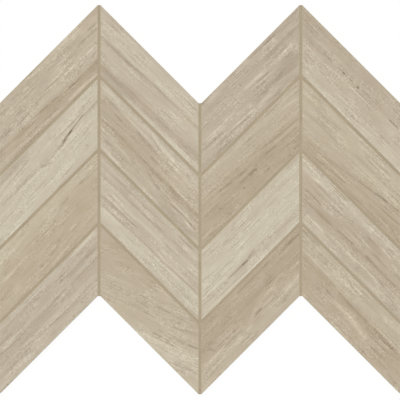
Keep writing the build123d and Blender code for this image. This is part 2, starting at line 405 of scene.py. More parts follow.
            (3.4, 0.43), (5.6, 0.53), (9.0, 0.56), (13.0, 0.58), (17.0, 0.61), (23.0, 0.58),
        ),
        veins=(
            (-33, 1.4, -19, -0.6, 0.7, -0.34), (-14, -1.0, -4, -2.4, 0.8, -0.26),
            (-9, -5.2, 1, -6.6, 0.9, -0.5), (-18, -5.8, -8, -6.0, 0.6, -0.28),
            (12, -3.5, 24, -4.9, 0.8, -0.36), (26, -5.2, 46, -6.2, 0.6, -0.2),
            (8, 2.0, 52, -2.2, 0.7, -0.28), (-18, -10.2, -16, -10.6, 0.8, -0.6),
            (-42, -8.0, -40, -8.4, 0.7, -0.4), (-68, -14.4, -52, -14.8, 0.7, 0.24),
            (-56, -16.6, -42, -15.8, 0.8, 0.14), (16, -2.3, 50, -3.7, 0.6, 0.3),
            (44, 12.3, 62, 9.1, 0.8, 0.2), (-8, -6.7, 0, -7.1, 0.8, -0.36),
            (5, -9.0, 10, -8.0, 0.6, -0.12), (2, -12.2, 9, -12.8, 1.0, -0.3),
            (20, -10.4, 34, -10.8, 0.6, -0.15), (-12, -15.6, -11, -16.4, 0.8, -0.28),
            (0, -4.4, 3, -5.0, 1.0, -0.15), (-34, -16.3, -28, -16.5, 0.6, 0.4),
            (-4, -7.6, -1, -7.2, 0.6, 0.5), (30, 10.9, 54, 11.3, 0.6, 0.12),
            (56, 6.4, 57.5, 6.2, 0.8, 0.32), (-22, -3.6, 0, -3.4, 1.8, 0.16),
            (-44, -1.0, -24, 0.2, 1.6, 0.1), (4, -11.6, 17, -11.6, 1.6, -0.12),
            (24, 17.6, 48, 17.6, 1.4, -0.14), (-56, -17.2, -36, -16.8, 1.4, -0.12),
            (0, -3.6, 16, -3.4, 2.0, -0.1), (20, -17.0, 40, -16.4, 1.5, -0.11),
        ),
        shade=-0.015,
        warmth=1.03,
        streak=0.9,
        cloud=0.9,
    ),
    # Pale cream with a brown crack low on the left
    "chip_c3": ChipPrint(
        tilt=-0.01,
        bands=(
            (-19.0, 0.7), (-18.0, 0.8), (-15.8, 0.72), (-13.4, 0.66), (-11.4, 0.64), (-9.8, 0.72),
            (-7.4, 0.8), (-3.4, 0.8), (1.6, 0.79), (6.6, 0.75), (10.0, 0.7), (12.6, 0.73),
            (18.7, 0.7),
        ),
        veins=(
            (-38, -10.6, -14, -11.4, 0.6, -0.5), (-20.5, -11.2, -13, -11.4, 0.7, -0.75),
            (-14, -10.9, -4, -9.3, 0.7, -0.4), (-58, -9.2, -36, -10.2, 0.5, -0.3),
            (12, -11.0, 40, -14.2, 0.6, -0.22), (-64, -14.8, -24, -16.0, 0.5, -0.2),
            (-6, 9.8, 20, 8.8, 0.6, -0.13), (-2, -9.7, 14, -9.3, 1.0, -0.15),
            (-40, -10.8, -36, -13.2, 0.8, -0.2), (-36, -16.0, -18, -16.2, 0.5, -0.22),
            (-60, -17.8, 8, -17.8, 0.7, 0.14), (-20, 10.2, -12, 10.4, 0.5, -0.3),
            (-8, 13.0, 0, 16.0, 1.0, -0.18), (22, 6.5, 36, 6.3, 0.6, -0.18),
            (-2, -14.5, 8, -12.3, 3.0, -0.1), (8, -11.0, 18, -11.0, 1.4, -0.13),
            (24, -10.0, 46, -8.4, 1.8, -0.13), (38, 10.2, 54, 10.4, 1.4, -0.13),
            (54, 16.6, 70, 17.6, 2.0, -0.18), (-10, -12.8, 2, -12.0, 1.6, -0.13),
            (-50, -5.0, -34, -3.6, 1.6, -0.09), (-60, -8.2, -44, -8.6, 1.2, 0.12),
            (-58, -1.2, -42, -0.8, 1.6, -0.11),
        ),
        shade=0.008,
        warmth=0.98,
        streak=0.9,
        cloud=0.9,
    ),
    # Taupe above a lighter third, with wavy pale streaks where they meet
    "chip_c4": ChipPrint(
        tilt=0.0,
        bands=(
            (-19.3, 0.58), (-15.6, 0.6), (-12.6, 0.6), (-9.6, 0.57), (-7.0, 0.55), (-5.2, 0.5),
            (-2.6, 0.43), (2.2, 0.42), (3.6, 0.33), (5.2, 0.32), (7.0, 0.37), (11.4, 0.38),
            (14.4, 0.38), (18.7, 0.38),
        ),
        veins=(
            (6, 0.6, 30, 1.0, 2.4, 0.14), (54, 15.6, 70, 15.0, 1.5, -0.24),
            (-22, -3.4, -18, -2.0, 1.2, -0.14), (-58, -5.6, -30, -5.0, 0.6, 0.24),
            (-54, -6.6, -34, -5.0, 0.6, 0.16), (-14, -9.6, -6, -9.0, 1.2, 0.22),
            (26, -8.1, 48, -7.1, 0.7, 0.32), (0, -4.6, 8, -5.4, 0.6, -0.4),
            (-2, -6.0, 8, -5.4, 0.5, -0.5), (-42, 4.1, -36, 3.7, 0.8, -0.2),
            (44, 14.4, 60, 15.0, 1.0, -0.14), (-2, 16.0, 44, 16.0, 0.6, -0.3),
            (-44, 2.0, -40, -3.0, 1.4, -0.3), (-16, 8.6, -14, 7.2, 1.0, -0.24),
            (-16, 2.0, -13, 1.4, 1.0, -0.2), (-6, -5.1, 6, -1.3, 0.8, 0.2),
            (8, -5.0, 22, -4.4, 0.5, 0.3), (24, -6.4, 40, -6.0, 0.6, 0.2),
            (6, -6.0, 22, -6.4, 0.4, -0.4), (-4, -9.0, 4, -8.0, 0.5, -0.18),
            (22, 13.0, 28, 11.2, 2.4, 0.14), (-18, -16.2, -6, -15.6, 2.0, -0.22),
            (-28, -10.8, -17, -10.2, 2.2, 0.18), (26, 0.2, 46, 0.6, 1.6, -0.12),
            (38, -5.6, 56, -5.6, 1.4, 0.12), (14, -12.0, 28, -11.6, 1.8, -0.12),
            (-74, -17.0, -58, -16.6, 1.6, 0.14), (-2, -2.4, 12, -2.2, 2.0, 0.13),
            (6, 3.0, 30, 3.2, 2.4, -0.09), (-62, -15.6, -46, -15.8, 2.0, 0.12),
        ),
        shade=-0.008,
        warmth=1.02,
        streak=0.9,
        cloud=0.9,
    ),
    # Speckled taupe-beige above, paler by degrees to a cream lower edge, with two dark dots
    "chip_d1": ChipPrint(
        tilt=-0.01,
        bands=(
            (-18.7, 0.78), (-16.6, 0.78), (-14.0, 0.7), (-11.0, 0.68), (-8.0, 0.62), (-4.0, 0.61),
            (0.0, 0.6), (3.0, 0.55), (5.0, 0.52), (8.0, 0.54), (12.0, 0.52), (16.0, 0.5), (18.7, 0.52),
        ),
        veins=(
            (-13.9, 4.8, -11.6, 4.8, 0.6, -0.66), (1.6, 4.95, 4.2, 4.95, 0.7, -1.15),
            (-7, 4.6, -3, 4.8, 0.5, -0.5), (-20, 4.8, -8, 4.7, 0.5, -0.42),
            (36, 3.8, 48, 3.6, 0.5, -0.8), (-48, 2.6, -42, 2.4, 0.8, -0.18),
            (44, -12.8, 66, -13.4, 3.0, 0.14), (-42, 2.0, -32, 3.2, 0.6, -0.16),
            (-36, 4.4, -24, 4.4, 0.6, -0.3), (-30, 9.0, -16, 8.6, 0.6, 0.2),
            (-54, 7.2, -28, 8.4, 0.5, 0.16), (20, -14.6, 44, -14.8, 0.6, 0.24),
            (0, -3.2, 8, -4.2, 2.0, 0.1), (-70, 13.0, -44, 12.0, 4.0, -0.18),
            (-54, 15.0, -20, 14.0, 3.0, -0.09), (20, 1.2, 54, -1.6, 3.0, 0.1),
            (2, 12.0, 18, 11.6, 1.8, -0.09), (-60, 4.4, -44, 3.6, 2.0, -0.11),
            (4, -0.4, 22, -1.2, 2.0, -0.11), (-34, -14.6, -12, -14.2, 1.6, -0.11),
            (-18, -9.0, 2, -9.0, 1.6, 0.11),
        ),
        shade=-0.023,
        warmth=0.98,
        streak=0.8,
        cloud=1.05,
    ),
    # Light above a seam that climbs to the right and ends in a dark smear, taupe below
    "chip_d2": ChipPrint(
        tilt=0.06,
        bands=(
            (-24.0, 0.38), (-18.0, 0.38), (-14.6, 0.36), (-13.0, 0.46), (-11.4, 0.36), (-9.6, 0.46),
            (-7.0, 0.52), (-3.0, 0.54), (1.0, 0.58), (3.0, 0.62), (5.0, 0.52), (7.0, 0.58),
            (10.0, 0.62), (13.0, 0.56), (16.0, 0.62), (22.0, 0.58),
        ),
        veins=(
            (28, -3.6, 43, -1.4, 0.9, -0.54), (-2, -8.4, 32, -3.0, 0.8, -0.2),
            (-36, -12.0, -20, -11.8, 0.8, -0.26), (-22, -11.6, 2, -8.6, 0.7, -0.22),
            (36, -9.2, 62, -7.4, 0.7, -0.14), (50, -15.8, 58, -15.2, 1.0, 0.2),
            (18, 15.8, 34, 15.0, 1.0, 0.14), (-52, 3.0, -18, 5.6, 0.7, -0.13),
            (-28, -16.6, 12, -14.0, 0.9, -0.28), (-36, -13.0, 12, -12.6, 0.5, 0.3),
            (10, -18.4, 44, -16.2, 0.6, -0.3), (64, -16.4, 70, -17.4, 0.7, -0.3),
            (54, -14.0, 60, -13.8, 0.5, -0.34), (-34, 11.0, -22, 11.6, 0.5, -0.3),
            (-6, 6.4, 40, 6.4, 1.0, -0.13), (2, 11.7, 14, 10.1, 0.7, -0.22),
            (0, 2.4, 46, 3.4, 0.8, 0.12), (-5, -1.2, 0, 0.4, 0.6, 0.12),
            (-68, 13.0, -46, 12.8, 2.2, 0.12), (6, -7.6, 64, 0.4, 2.0, -0.14),
            (40, -3.0, 66, 0.6, 2.0, -0.1), (4, -14.4, 34, -13.4, 1.6, 0.12),
            (36, 4.0, 58, 2.6, 1.4, -0.16), (-20, 13.0, 0, 13.4, 2.0, 0.11),
            (-28, -10.4, -16, -10.2, 1.6, -0.11), (-6, -6.8, 14, -7.2, 1.8, -0.1),
            (32, -16.8, 54, -16.0, 1.6, -0.13),
        ),
        shade=0.015,
        warmth=1.04,
        cloud=0.85,
    ),
    # Pale top and bottom, taupe between with a dark line, and curved pale streaks
    "chip_d3": ChipPrint(
        tilt=0.02,
        bands=(
            (-18.7, 0.6), (-17.6, 0.71), (-15.4, 0.6), (-12.0, 0.58), (-10.2, 0.6), (-8.2, 0.49),
            (-6.2, 0.43), (-4.7, 0.37), (-3.5, 0.38), (-2.2, 0.46), (1.0, 0.46), (3.0, 0.5),
            (5.0, 0.52), (7.4, 0.51), (9.0, 0.51), (10.6, 0.58), (12.4, 0.68), (15.0, 0.72),
            (17.4, 0.67), (18.7, 0.58),
        ),
        veins=(
            (-46, -5.7, -12, -4.5, 0.8, -0.23), (-14, -4.3, 8, -2.7, 0.7, -0.32),
            (16, -2.8, 34, -3.0, 0.9, -0.38), (32, -3.7, 54, -3.1, 0.9, -0.15),
            (-52, 1.2, -32, 1.0, 0.5, -0.6), (18, 2.4, 38, 2.0, 0.7, -0.2),
            (8, 8.4, 22, 8.8, 0.5, -0.4), (-38, -12.4, -14, -12.8, 0.8, 0.36),
            (2, -10.0, 32, -10.0, 0.8, 0.38), (28, -9.9, 44, -11.9, 0.7, 0.26),
            (-54, 11.2, -34, 13.2, 0.8, 0.2), (-50, 7.6, -14, 8.2, 0.5, 0.3),
            (-56, 9.8, -14, 9.4, 0.4, -0.3), (-46, 5.2, -20, 5.8, 0.5, -0.14),
            (6, 6.8, 30, 4.8, 3.0, -0.13), (0, 3.8, 20, 3.8, 0.5, 0.34),
            (-10, 0.6, 12, 0.4, 0.5, 0.36), (36, 6.8, 44, 5.6, 0.6, 0.24),
            (22, 10.2, 34, 9.0, 0.6, 0.4), (36, -8.0, 46, -10.0, 0.6, -0.3),
            (56, -13.2, 66, -15.2, 0.8, -0.18), (-66, 8.0, -44, 12.0, 4.0, 0.16),
            (-54, 17.0, -36, 16.4, 1.8, -0.16), (-2, 15.0, 24, 14.0, 2.0, -0.12),
            (8, 10.4, 30, 8.6, 1.4, 0.16), (4, -16.6, 26, -16.0, 1.6, -0.12),
            (-74, 16.0, -56, 15.6, 2.6, 0.18), (-34, 4.8, -14, 4.0, 2.2, -0.13),
            (-24, -15.6, -8, -15.0, 1.8, 0.15), (-50, -9.6, -34, -9.2, 1.6, -0.11),
            (14, 0.6, 32, 0.0, 2.0, 0.11), (18, 12.0, 34, 11.4, 1.8, -0.12),
            (30, 14.0, 44, 13.6, 1.8, 0.14), (38, -9.0, 58, -9.8, 2.2, -0.16),
            (54, -16.6, 72, -17.2, 2.0, -0.14), (14, -12.0, 44, -14.0, 2.4, -0.1),
        ),
        shade=-0.01,
        streak=0.95,
    ),
    # Beige above a dark line, taupe and tan below it with two pale lenses
    "chip_d4": ChipPrint(
        tilt=-0.01,
        bands=(
            (-19.0, 0.52), (-15.4, 0.48), (-11.4, 0.45), (-8.4, 0.45), (-5.4, 0.46), (-2.4, 0.42),
            (-0.4, 0.4), (1.6, 0.36), (3.0, 0.4), (4.4, 0.54), (6.2, 0.6), (8.6, 0.57),
            (11.6, 0.56), (14.6, 0.6), (18.7, 0.6),
        ),
        veins=(
            (-18, 2.5, 2, 1.7, 1.1, -0.28), (18, 2.2, 48, 1.6, 1.1, -0.23),
            (10, 3.2, 16, 0.8, 0.8, -0.13), (16, -1.6, 28, -3.4, 1.6, -0.17),
            (18, 4.2, 32, 4.4, 0.6, 0.21), (-60, 6.8, -24, 6.2, 0.6, 0.19),
            (-18, -4.0, 4, -4.8, 1.8, 0.26), (0, -4.2, 22, -7.8, 1.8, 0.4),
            (-16, 15.2, -2, 14.0, 0.7, 0.32), (-4, 13.6, 2, 15.8, 0.6, 0.18),
            (-28, 3.4, -20, 3.6, 0.8, -0.16), (0, 1.5, 10, 2.1, 0.8, -0.15),
            (26, 0.4, 46, 1.2, 0.6, -0.4), (20, -7.0, 24, -8.6, 2.0, 0.3),
            (-18, 14.6, -4, 12.2, 0.4, -0.26), (-16, 17.8, 8, 17.6, 0.6, 0.21),
            (-56, -0.4, -46, -1.4, 2.0, 0.14), (52, -13.8, 66, -16.8, 1.4, -0.16),
            (-72, 17.4, -50, 16.6, 2.5, -0.22), (-8, 9.0, 20, 10.0, 2.0, 0.12),
            (18, 13.4, 44, 13.8, 2.0, 0.2), (16, 0.0, 32, -1.6, 1.8, -0.16),
            (-24, -15.4, -4, -14.6, 1.6, 0.1), (-70, 14.0, -52, 13.6, 2.0, -0.11),
            (-42, 4.2, -22, 3.4, 2.0, -0.11), (-16, 16.0, 4, 15.6, 2.2, -0.16),
            (40, 0.0, 58, -0.8, 1.8, -0.13), (-6, -15.2, 10, -14.6, 1.8, 0.12),
        ),
        shade=-0.01,
        warmth=1.02,
        cloud=1.1,
    ),
}


def colour(name, description, hex_code):
    """A colour that the user can change."""
    return FloatVectorProperty(
        name=name, description=description, subtype="COLOR", size=4, min=0.0, max=1.0,
        default=linear(hex_code))


class MosaicLook(PropertyGroup):
    """Sizes and colours of the sheet's finishes."""

    umber: colour("Umber", "Darkest veins of the stone print", "#A28E76")
    taupe: colour("Taupe", "Dark bands of the stone print", "#B3A48D")
    greige: colour("Greige", "Middle tone of the stone print", "#B9AB95")
    beige: colour("Beige", "Commonest tone of the stone print", "#BFB39D")
    cream: colour("Cream", "Pale tone of the stone print", "#C6BCA6")
    ivory: colour("Ivory", "Paler tone of the stone print", "#CEC5B0")
    chalk: colour("Chalk", "Palest streaks of the stone print", "#D4CDB9")
    # Bare fired body of the chip; on the ground arris its paler tone is also a painted lift against the
    # arris's shade
    body_and_arris_lift: colour("Biscuit", "Fired body on the ground edge, sides and back of a chip", "#CEC2AC")
    grout: colour("Grout", "Cement grout in the joints", "#AC9E85")
    glass_fibre: colour("Glass fibre", "Coated yarn of the mesh", "#E4E1D8")
    streak_length: FloatProperty(
        name="Streak length", description="Length of the stone's streaks", subtype="DISTANCE",
        default=36 * MILLIMETRE, min=MILLIMETRE)
    streak_width: FloatProperty(
        name="Streak width", description="Width of the stone's streaks", subtype="DISTANCE",
        default=2.4 * MILLIMETRE, min=0.1 * MILLIMETRE)
    print_depth: FloatProperty(
        name="Print depth", description="Depth of the print in the face, above the bare ground edge",
        subtype="DISTANCE", default=0.02 * MILLIMETRE, min=0.0)
    sand_grain: FloatProperty(
        name="Sand grain", description="Grain size of the sand in the grout", subtype="DISTANCE",
        default=0.7 * MILLIMETRE, min=0.05 * MILLIMETRE)
    bloom_size: FloatProperty(
        name="Bloom size", description="Size of the pale patches in the grout", subtype="DISTANCE",
        default=12 * MILLIMETRE, min=MILLIMETRE)
    yarn_pitch: FloatProperty(
        name="Yarn pitch", description="Length of one twist of the mesh's yarn", subtype="DISTANCE",
        default=2.0 * MILLIMETRE, min=0.1 * MILLIMETRE)


def new_group(name, inputs, outputs):
    """A shader node group and what it is given: numbers, apart from an input called Position."""
    tree = bpy.data.node_groups.new(name, "ShaderNodeTree")
    for label in inputs:
        kind = "NodeSocketVector" if label == "Position" else "NodeSocketFloat"
        tree.interface.new_socket(label, in_out="INPUT", socket_type=kind)
    for label, kind in outputs.items():
        tree.interface.new_socket(label, in_out="OUTPUT", socket_type=kind)
    return tree, add_node(tree, "NodeGroupInput").outputs


def stone_vein():
    """One vein: a soft line between two points, faded at both ends and broken by the grain."""
    tree, given = new_group(
        "Stone vein",
        ("Tone", "Along", "Across", "Break", "From Along", "From Across", "To Along", "To Across",
         "Half Width", "Change"),
        {"Tone": "NodeSocketFloat"},
    )
    run = {"Value": given["Along"], "From Min": given["From Along"], "From Max": given["To Along"]}
    share = add_node(tree, "ShaderNodeMapRange", run, clamp=False).outputs[0]
    line = add_node(
        tree, "ShaderNodeMapRange",
        {**run, "To Min": given["From Across"], "To Max": given["To Across"]}, clamp=False).outputs[0]
    off = add_node(tree, "ShaderNodeMath", {0: given["Across"], 1: line}, operation="SUBTRACT").outputs[0]
    off = add_node(tree, "ShaderNodeMath", {0: off, 1: given["Half Width"]}, operation="DIVIDE").outputs[0]
    square = add_node(tree, "ShaderNodeMath", {0: off, 1: off}, operation="MULTIPLY").outputs[0]
    core = add_node(tree, "ShaderNodeMath", {0: EDGE_STRENGTH, 1: square}, operation="POWER").outputs[0]
    rest = add_node(tree, "ShaderNodeMath", {0: 1.0, 1: share}, operation="SUBTRACT").outputs[0]
    inside = add_node(tree, "ShaderNodeMath", {0: share, 1: rest}, operation="MULTIPLY").outputs[0]
    ends = add_node(
        tree, "ShaderNodeMapRange", {"Value": inside, "From Max": END_FADE},
        interpolation_type="SMOOTHSTEP").outputs[0]
    shape = add_node(tree, "ShaderNodeMath", {0: core, 1: ends}, operation="MULTIPLY").outputs[0]
    shape = add_node(tree, "ShaderNodeMath", {0: shape, 1: given["Break"]}, operation="MULTIPLY").outputs[0]
    tone = add_node(
        tree, "ShaderNodeMath", {0: shape, 1: given["Change"], 2: given["Tone"]}, operation="MULTIPLY_ADD")
    add_node(tree, "NodeGroupOutput", {"Tone": tone.outputs[0]})
    return tree


def stone_grain(look):
    """The stone's fine figure: where a point lies in the bedding, and how far the grain shifts its tone."""
    tree, given = new_group(
        "Stone grain",
        ("Position", "Tilt", "Seed", "Streak", "Cloud"),
        {name: "NodeSocketFloat" for name in (
            "Along", "Across", "Bedding", "Clouds", "Detail", "Break", "Blush", "Tint")},
    )
    place = add_node(tree, "ShaderNodeSeparateXYZ", {0: given["Position"]}).outputs
    climb = add_node(
        tree, "ShaderNodeMath", {0: place["X"], 1: given["Tilt"]}, operation="MULTIPLY").outputs[0]
    bedding = add_node(tree, "ShaderNodeMath", {0: place["Y"], 1: climb}, operation="SUBTRACT").outputs[0]
    bed_point = add_node(tree, "ShaderNodeCombineXYZ", {"X": place["X"], "Y": bedding}).outputs[0]
    seed = add_node(tree, "ShaderNodeCombineXYZ", {"X": given["Seed"], "Y": given["Seed"]}).outputs[0]

    def noise(length_mm, width_mm, detail):
        """Noise about zero, stretched along the bedding."""
        point = add_node(
            tree, "ShaderNodeVectorMath", {0: bed_point, 1: (length_mm, width_mm, 1.0)},
            operation="DIVIDE").outputs[0]
        point = add_node(tree, "ShaderNodeVectorMath", {0: point, 1: seed}, operation="ADD").outputs[0]
        value = add_node(
            tree, "ShaderNodeTexNoise", {"Vector": point, "Scale": 1.0, "Detail": detail},
            noise_dimensions="2D").outputs[0]
        return add_node(tree, "ShaderNodeMath", {0: value, 1: 0.5}, operation="SUBTRACT").outputs[0]

    def weighed(*parts):
        """The sum of the (value, weight) parts."""
        total = 0.0
        for value, weight in parts:
            total = add_node(
                tree, "ShaderNodeMath", {0: value, 1: weight, 2: total},
                operation="MULTIPLY_ADD").outputs[0]
        return total

    sway = noise(34.0, 9.0, 2.0)  # bends the bedding and its veins
    length = look.streak_length / MILLIMETRE
    width = look.streak_width / MILLIMETRE
    dark_lines = add_node(
        tree, "ShaderNodeMapRange",
        {"Value": noise(0.75 * length, width / 2.4, 1.0), "From Min": -LINE_FULL, "From Max": -LINE_START,
         "To Min": DARK_LINE, "To Max": 0.0}).outputs[0]
    pale_lines = add_node(
        tree, "ShaderNodeMapRange",
        {"Value": noise(0.75 * length, width / 1.8, 1.0), "From Min": LINE_START, "From Max": LINE_FULL,
         "To Min": 0.0, "To Max": PALE_LINE}).outputs[0]
    streaks = weighed(
        (noise(length, width, 2.0), 0.4), (noise(length / 3, width / 3, 2.0), 0.1),
        (dark_lines, 1.0), (pale_lines, 1.0))
    # Coarse and fine speckle, as of a worn stone face
    mottle = weighed((noise(3.4, 2.2, 2.0), 0.36), (noise(1.4, 1.0, 1.0), 0.58))
    lively = add_node(
        tree, "ShaderNodeMapRange",
        {"Value": noise(26.0, 9.0, 1.0), "From Min": -0.14, "From Max": 0.14, "To Min": 0.3, "To Max": 1.3},
        interpolation_type="SMOOTHSTEP").outputs[0]  # leaves calm fields beside busy ones
    detail = weighed((streaks, given["Streak"]), (mottle, given["Cloud"]))
    clouds = weighed((noise(20.0, 9.0, 2.0), CLOUD_TONE))
    broken = add_node(
        tree, "ShaderNodeMapRange",
        {"Value": noise(9.0, 3.0, 2.0), "From Min": -0.2, "From Max": 0.1, "To Min": 0.6, "To Max": 1.1})
    add_node(
        tree, "NodeGroupOutput",
        {"Along": place["X"], "Across": weighed((sway, VEIN_SWAY), (place["Y"], 1.0)),
         "Bedding": weighed((sway, BAND_SWAY), (bedding, 1.0)), "Clouds": weighed((clouds, given["Cloud"])),
         "Detail": weighed((detail, lively)), "Break": broken.outputs[0],
         "Blush": weighed((noise(13.0, 9.0, 1.0), BLUSH)), "Tint": weighed((noise(10.0, 6.0, 2.0), TINT))})
    return tree


def fill_ramp(ramp, stops):
    """Give a colour ramp these (place, colour) stops."""
    for number, (place, paint) in enumerate(stops):
        element = ramp.elements[number] if number < 2 else ramp.elements.new(place)
        element.position = place
        element.color = paint


def stone_palette(look):
    """From a tone to the colour of the print: umber veins through beige to chalk."""
    tree, given = new_group("Stone palette", ("Tone",), {"Color": "NodeSocketColor"})
    ramp = add_node(tree, "ShaderNodeValToRGB", {0: given["Tone"]})
    fill_ramp(ramp.color_ramp, (
        (0.055, look.umber), (0.385, look.taupe), (0.525, look.greige), (0.655, look.beige),
        (0.785, look.cream), (0.925, look.ivory), (1.0, look.chalk),
    ))
    add_node(tree, "NodeGroupOutput", {"Color": ramp.outputs[0]})
    return tree


def printed_porcelain(name, chip_print, seed, look, groups):
    """Matt printed porcelain: a dense fired body, with a stone figure printed on its face.

    The eye gets a dry, even surface with no gloss, where streaks run along the chip as bedding does in a
    vein-cut slab, and the plain body on the ground edge and the sides, where the print ends. On the ground
    edge the body's paler tone is partly painted light: a painted lift against the shade of the sloped
    arris.
    """
    place = name.removeprefix("chip_")
    material, tree, shader = new_material(f"Printed porcelain {place}")

    low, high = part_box(name)
    middle = ((low.x + high.x) / 2, (low.y + high.y) / 2, high.z)
    turn = CHIP_SLOPE if place[0] in CLIMBING_COLUMNS else -CHIP_SLOPE
    position = add_node(tree, "ShaderNodeTexCoord").outputs["Object"]
    position = add_node(
        tree, "ShaderNodeMapping",
        {"Vector": position, "Location": middle, "Rotation": (0.0, 0.0, turn), "Scale": (MILLIMETRE,) * 3},
        vector_type="TEXTURE").outputs[0]
    grain = add_node(
        tree, "ShaderNodeGroup",
        {"Position": position, "Tilt": chip_print.tilt, "Seed": seed, "Streak": chip_print.streak,
         "Cloud": chip_print.cloud},
        node_tree=groups["grain"]).outputs

    lowest, highest = chip_print.bands[0][0], chip_print.bands[-1][0]
    share = add_node(
        tree, "ShaderNodeMapRange",
        {"Value": grain["Bedding"], "From Min": lowest, "From Max": highest}).outputs[0]
    bands = add_node(tree, "ShaderNodeValToRGB", {0: share})
    bands.color_ramp.interpolation = "EASE"
    fill_ramp(
        bands.color_ramp,
        [((v - lowest) / (highest - lowest), (tone, tone, tone, 1.0)) for v, tone in chip_print.bands])

    broad = add_node(
        tree, "ShaderNodeMath", {0: bands.outputs[0], 1: grain["Clouds"]}, operation="ADD").outputs[0]
    broad = add_node(tree, "ShaderNodeMath", {0: broad, 1: chip_print.shade}, operation="ADD").outputs[0]
    tone = add_node(tree, "ShaderNodeMath", {0: broad, 1: grain["Detail"]}, operation="ADD").outputs[0]
    for from_u, from_v, to_u, to_v, half_width, change in chip_print.veins:
        tone = add_node(
            tree, "ShaderNodeGroup",
            {"Tone": tone, "Along": grain["Along"], "Across": grain["Across"], "Break": grain["Break"],
             "From Along": from_u, "From Across": from_v, "To Along": to_u, "To Across": to_v,
             "Half Width": half_width, "Change": change},
            node_tree=groups["vein"]).outputs[0]

    # Fine lines keep the hue of their ground: half of their change of tone is brightness alone
    ground = add_node(tree, "ShaderNodeMix", {0: 0.5, 2: broad, 3: tone}).outputs[0]
    figure = add_node(tree, "ShaderNodeGroup", {"Tone": ground}, node_tree=groups["palette"]).outputs[0]
    line = add_node(tree, "ShaderNodeMath", {0: tone, 1: ground}, operation="SUBTRACT").outputs[0]
    brightness = add_node(
        tree, "ShaderNodeMath", {0: line, 1: LINE_BRIGHTNESS, 2: 1.0}, operation="MULTIPLY_ADD").outputs[0]
    warmth = add_node(
        tree, "ShaderNodeMath", {0: grain["Blush"], 1: chip_print.warmth}, operation="ADD").outputs[0]
    hue = add_node(tree, "ShaderNodeMath", {0: grain["Tint"], 1: NEUTRAL_HUE}, operation="ADD").outputs[0]
    figure = add_node(
        tree, "ShaderNodeHueSaturation",
        {"Color": figure, "Hue": hue, "Saturation": warmth, "Value": brightness}).outputs[0]
    # Below the print depth the bare body shows: its own colour on the sides, and on the arris also a
    # painted lift that offsets the arris's shade
    depth = add_node(tree, "ShaderNodeSeparateXYZ", {0: position}).outputs["Z"]
    printed = add_node(
        tree, "ShaderNodeMath", {0: depth, 1: -look.print_depth / MILLIMETRE},
        operation="GREATER_THAN").outputs[0]
    finish = add_node(
        tree, "ShaderNodeMix", {"Factor": printed, 6: look.body_and_arris_lift, 7: figure}, data_type="RGBA").outputs[2]
    relief = add_node(
        tree, "ShaderNodeBump",
        {"Strength": 0.25, "Distance": 0.08 * MILLIMETRE, "Height": tone}).outputs[0]
    roughness = add_node(
        tree, "ShaderNodeMapRange", {"Value": tone, "To Min": 0.62, "To Max": 0.5}).outputs[0]
    feed(tree, shader, {
        "Base Color": finish, "Normal": relief, "Roughness": roughness, "IOR": MINERAL_IOR,
        "Specular IOR Level": 0.25})
    return material


def cement_grout(look):
    """Sanded cement grout, struck with a round tool: dry and chalky, with fine sand in an even paste."""
    material, tree, shader = new_material("Sanded cement grout")
    position = add_node(tree, "ShaderNodeTexCoord").outputs["Object"]
    sand, bloom = (
        add_node(
            tree, "ShaderNodeTexNoise",
            {"Vector": position, "Scale": 1 / size, "Detail": detail}).outputs[0]
        for size, detail in ((look.sand_grain, 2.0), (look.bloom_size, 3.0)))
    shift = add_node(tree, "ShaderNodeMath", {0: sand, 1: bloom}, operation="ADD").outputs[0]
    value = add_node(
        tree, "ShaderNodeMapRange",
        {"Value": shift, "From Min": 0.6, "From Max": 1.4, "To Min": 0.9, "To Max": 1.1}).outputs[0]
    paste = add_node(tree, "ShaderNodeHueSaturation", {"Color": look.grout, "Value": value}).outputs[0]
    relief = add_node(
        tree, "ShaderNodeBump", {"Strength": 0.4, "Distance": 0.15 * MILLIMETRE, "Height": sand}).outputs[0]
    feed(tree, shader, {"Base Color": paste, "Normal": relief, "Roughness": 0.9, "IOR": MINERAL_IOR})
    return material


def glass_fibre_mesh(look):
    """Glass-fibre yarn in an alkali-proof coating: off-white and slightly shiny, with the yarn's twist in
    relief, plus painted shade in its grooves.
    """
    material, tree, shader = new_material("Coated glass fibre")
    position = add_node(tree, "ShaderNodeTexCoord").outputs["Object"]
    twist = add_node(
        tree, "ShaderNodeTexWave",
        {"Vector": position, "Scale": BAND_PERIOD / look.yarn_pitch, "Distortion": 1.0, "Detail": 1.0},
        bands_direction="DIAGONAL").outputs[1]
    # Painted shade of the twist: darker in its sunken grooves, with a faint painted highlight on its crests
    value = add_node(
        tree, "ShaderNodeMapRange", {"Value": twist, "To Min": 0.86, "To Max": 1.04}).outputs[0]
    yarn = add_node(
        tree, "ShaderNodeHueSaturation", {"Color": look.glass_fibre, "Value": value}).outputs[0]
    relief = add_node(
        tree, "ShaderNodeBump", {"Strength": 0.5, "Distance": 0.1 * MILLIMETRE, "Height": twist}).outputs[0]
    feed(tree, shader, {"Base Color": yarn, "Normal": relief, "Roughness": 0.4, "IOR": MINERAL_IOR})
    return material


def dress(name, material):
    """Give a node of the frame this one material."""
    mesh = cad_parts[name].data
    mesh.materials.clear()
    mesh.materials.append(material)


class MOSAIC_OT_print_chips(Operator):
    """Print every porcelain chip with its own stone figure"""

    bl_idname = "mosaic.print_chips"
    bl_label = "Print porcelain chips"

    def execute(self, context):
        look = context.scene.mosaic_look
        groups = {"vein": stone_vein(), "grain": stone_grain(look), "palette": stone_palette(look)}
        for number, (name, chip_print) in enumerate(CHIP_PRINTS.items(), start=1):
            dress(name, printed_porcelain(name, chip_print, number * SEED_STEP, look, groups))
        return {"FINISHED"}


class MOSAIC_OT_fill_joints(Operator):
    """Finish the grout that fills the joints"""

    bl_idname = "mosaic.fill_joints"
    bl_label = "Finish grout"

    def execute(self, context):
        dress("grout", cement_grout(context.scene.mosaic_look))
        return {"FINISHED"}


